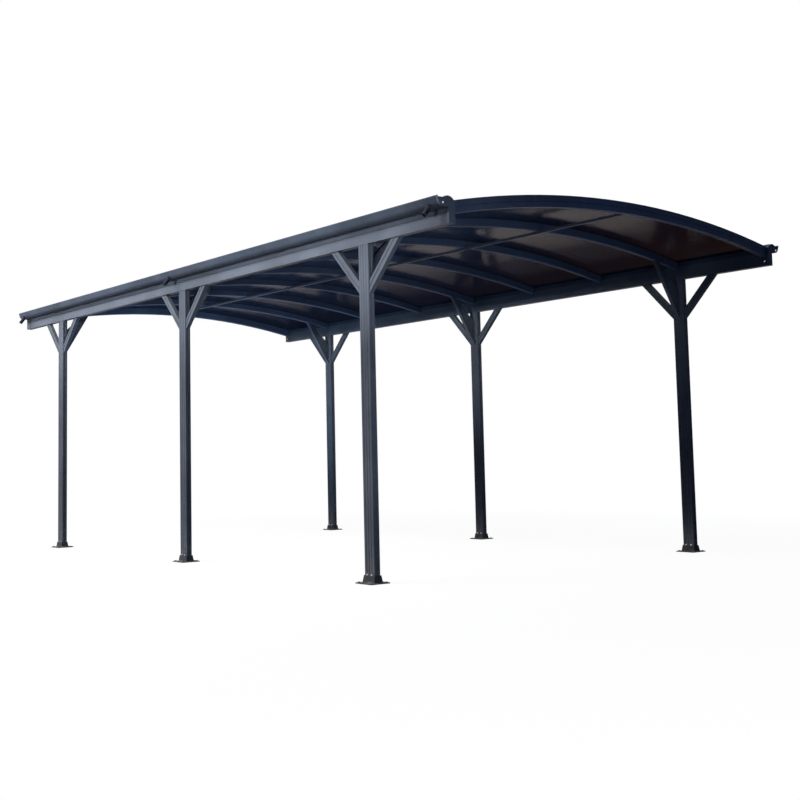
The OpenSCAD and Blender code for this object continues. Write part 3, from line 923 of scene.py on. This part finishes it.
def buildSealTree():
    tree, source, sink = newTree("sealBeads", [
        ("Bead Radius", "NodeSocketFloat"), ("Bead Sides", "NodeSocketInt"), ("Material", "NodeSocketMaterial"),
    ])
    values = source.outputs
    path = addNode(tree, "GeometryNodeMeshToCurve", (-600, 0))
    feed(tree, path, Mesh=values["Geometry"])
    ring = addNode(tree, "GeometryNodeCurvePrimitiveCircle", (-600, -200))
    feed(tree, ring, Resolution=values["Bead Sides"], Radius=values["Bead Radius"])
    sweep = addNode(tree, "GeometryNodeCurveToMesh", (-300, 0))
    feed(tree, sweep, Curve=path.outputs[0], Profile_Curve=ring.outputs[0], Fill_Caps=True)
    smooth = addNode(tree, "GeometryNodeSetShadeSmooth", (0, 0))
    feed(tree, smooth, i0=sweep.outputs[0])
    real = addNode(tree, "GeometryNodeRealizeInstances", (300, 0))
    feed(tree, real, Geometry=smooth.outputs[0])
    paint = addNode(tree, "GeometryNodeSetMaterial", (600, 0))
    feed(tree, paint, Geometry=real.outputs[0], Material=values["Material"])
    tree.links.new(paint.outputs[0], sink.inputs[0])
    return tree


def sealPaths():
    s = sheetSeals
    over, under = roofSheet["thickness"] + s["lift"], -s["lift"]

    def arcPath(y, offset):
        xs = [-s["spanIn"] + 2 * s["spanIn"] * k / s["steps"] for k in range(s["steps"] + 1)]
        return [(x, y, arcHeight(offset, x)) for x in xs]

    for i, side in product(range(1, carport["ribCount"] + 1), bothWays):
        yield arcPath(ribPlace(i) + side * (s["capHalf"] + s["capGap"]), over)
        yield arcPath(ribPlace(i) + side * (s["ribHalf"] + s["ribGap"]), under)
    for end in bothWays:
        inner = end * (carport["archY"] - s["capHalf"] - s["capGap"])
        yield arcPath(inner, over)
        yield arcPath(inner, under)
    for sign in bothWays:
        edge = carport["postX"] - s["eaveIn"]
        ends = carport["archY"] - s["capHalf"]
        z = arcHeight(roofSheet["thickness"] + s["eaveLift"], edge)
        yield [(sign * edge, -ends + 2 * ends * k / s["eaveSteps"], z) for k in range(s["eaveSteps"] + 1)]


def pathCarrier(name, paths):
    spots, edges = [], []
    for path in paths:
        edges += [(len(spots) + k, len(spots) + k + 1) for k in range(len(path) - 1)]
        spots += path
    mesh = bpy.data.meshes.new(name)
    mesh.from_pydata(spots, edges, [])
    return mesh


seals = runTree("sheetSeals", pathCarrier("sealPaths", sealPaths()), buildSealTree(),
                dict(sheetSeals["bead"], Material=rubberMaterial), rubberMaterial)
print("seals made:", len(seals.data.polygons), "faces")


# floor, surroundings and lamps

stage = {
    "rings": (2.0, 4.0, 8.0, 16.0, 30.0),  # radii of the floor
    "sides": 64,
    "floorZ": -0.0005,
    "glow": 0.95,                        # share of plain white in the floor near the object
    "clear": (4.0, 8.0),                 # the floor turns to plain white between these distances
    "white": (1, 1, 1, 1),
    "pale": (0.9, 0.9, 0.9, 1),          # the floor as it is seen
    "mirrored": (1.0, 0.88, 0.83, 1),    # pale ground as the roof mirrors it
    "bounce": (0.050, 0.072, 0.120, 1),  # what the floor sends back to the frame
    "ambient": (0.020, 0.044, 0.115, 1),
}


def seenRay(tree, place):
    # rays that come from the camera, straight or by way of the object's gloss and sheets
    x, y = place
    rays = addNode(tree, "ShaderNodeLightPath", place).outputs
    seen = mathNode(tree, "MAXIMUM", (x + 180, y), rays["Is Camera Ray"], rays["Is Glossy Ray"])
    return mathNode(tree, "MAXIMUM", (x + 340, y), seen, rays["Is Transmission Ray"])


def makeFloor():
    def build(bm):
        rings = []
        for radius in stage["rings"]:
            rings.append([bm.verts.new((radius * math.cos(a), radius * math.sin(a), stage["floorZ"]))
                          for a in circleAngles(stage["sides"])])
        bm.faces.new(rings[0])
        bridgeRings(bm, rings)

    material, tree, shader = newMaterial("paleFloor")
    tree.nodes.remove(shader)
    seen = seenRay(tree, (-900, 300))
    reach = addNode(tree, "ShaderNodeVectorMath", (-700, 0), operation="LENGTH")
    feed(tree, reach, i0=objectCoords(tree, (-900, 0)))
    white = rangeNode(tree, (-500, 0), reach.outputs["Value"], *stage["clear"], stage["glow"], 1.0)
    share = mathNode(tree, "MULTIPLY", (-300, 200), seen, white)
    tone = mixColour(tree, (-300, 0), seen, stage["bounce"], stage["pale"])
    plain = addNode(tree, "ShaderNodeBsdfDiffuse", (-100, 0))
    feed(tree, plain, Color=tone)
    rays = addNode(tree, "ShaderNodeLightPath", (-500, -300)).outputs
    shine = mixColour(tree, (-300, -150), rays["Is Glossy Ray"], stage["white"], stage["mirrored"])
    glow = addNode(tree, "ShaderNodeEmission", (-100, -150))
    feed(tree, glow, Color=shine, Strength=1.0)
    mix = addNode(tree, "ShaderNodeMixShader", (150, 0))
    feed(tree, mix, i0=share, i1=plain.outputs[0], i2=glow.outputs[0])
    tree.links.new(mix.outputs[0], tree.nodes["Material Output"].inputs[0])
    floor = meshPiece("paleFloor", build, material, smooth=False)
    if floor.data.polygons[0].normal.z < 0:
        floor.data.flip_normals()


def makeWorld():
    world = bpy.data.worlds.new("plainWhite")
    scene.world = world
    world.use_nodes = True
    tree = world.node_tree
    background = tree.nodes["Background"]
    seen = seenRay(tree, (-700, 0))
    tone = mixColour(tree, (-200, 0), seen, stage["ambient"], stage["white"])
    feed(tree, background, Color=tone, Strength=1.0)


lamps = {
    # place, aim, size, watts, spread in degrees, colour
    "keyLeft": ((-8.0, 2.0, 6.5), (-1.4, 0.3, 1.6), (6.0, 1.0), 1250, 180, (1.0, 0.99, 0.97)),
    "eaveStrip": ((-4.6, 1.5, 3.9), (-1.5, 0.5, 2.1), (6.0, 0.5), 120, 180, (0.96, 0.98, 1.0)),
    "eaveGlow": ((-6.5, -0.4, 2.0), (-1.5, 1.3, 1.92), (7.6, 0.15), 27, 18, (0.90, 0.96, 1.0)),
    "skyFill": ((-0.6, -4.4, 0.4), (0.1, 0.0, 2.2), (1.5, 1.0), 5.0, 80, (0.42, 0.68, 1.0)),
    "underFill": ((-0.1, 2.0, 0.25), (0.4, 2.2, 2.2), (2.0, 2.0), 32.0, 140, (0.48, 0.72, 1.0)),
    "frontFill": ((-2.3, -5.8, 1.0), (-1.6, -2.3, 1.25), (0.6, 0.8), 5.5, 52, (0.92, 0.96, 1.0)),
    "rightFill": ((8.5, -0.5, 3.2), (1.46, 0.0, 1.4), (6.0, 1.2), 330, 180, (0.95, 0.97, 1.0)),
    "rearFill": ((-1.0, 10.5, 2.7), (0.0, 3.0, 1.4), (5.0, 1.2), 280, 180, (0.95, 0.97, 1.0)),
}


def makeLamps():
    for name, (spot, aim, size, watts, spread, colour) in lamps.items():
        data = bpy.data.lights.new(name, "AREA")
        data.shape = "RECTANGLE"
        data.size, data.size_y = size
        data.energy = watts
        data.spread = math.radians(spread)
        data.color = colour
        lamp = bpy.data.objects.new(name, data)
        lamp.visible_camera = False
        lamp.visible_glossy = False
        lamp.visible_transmission = False
        scene.collection.objects.link(lamp)
        turn = (Vector(aim) - Vector(spot)).to_track_quat("-Z", "Y").to_matrix().to_4x4()
        lamp.matrix_world = Matrix.Translation(spot) @ turn


makeFloor()
makeWorld()
makeLamps()
print("stage set")
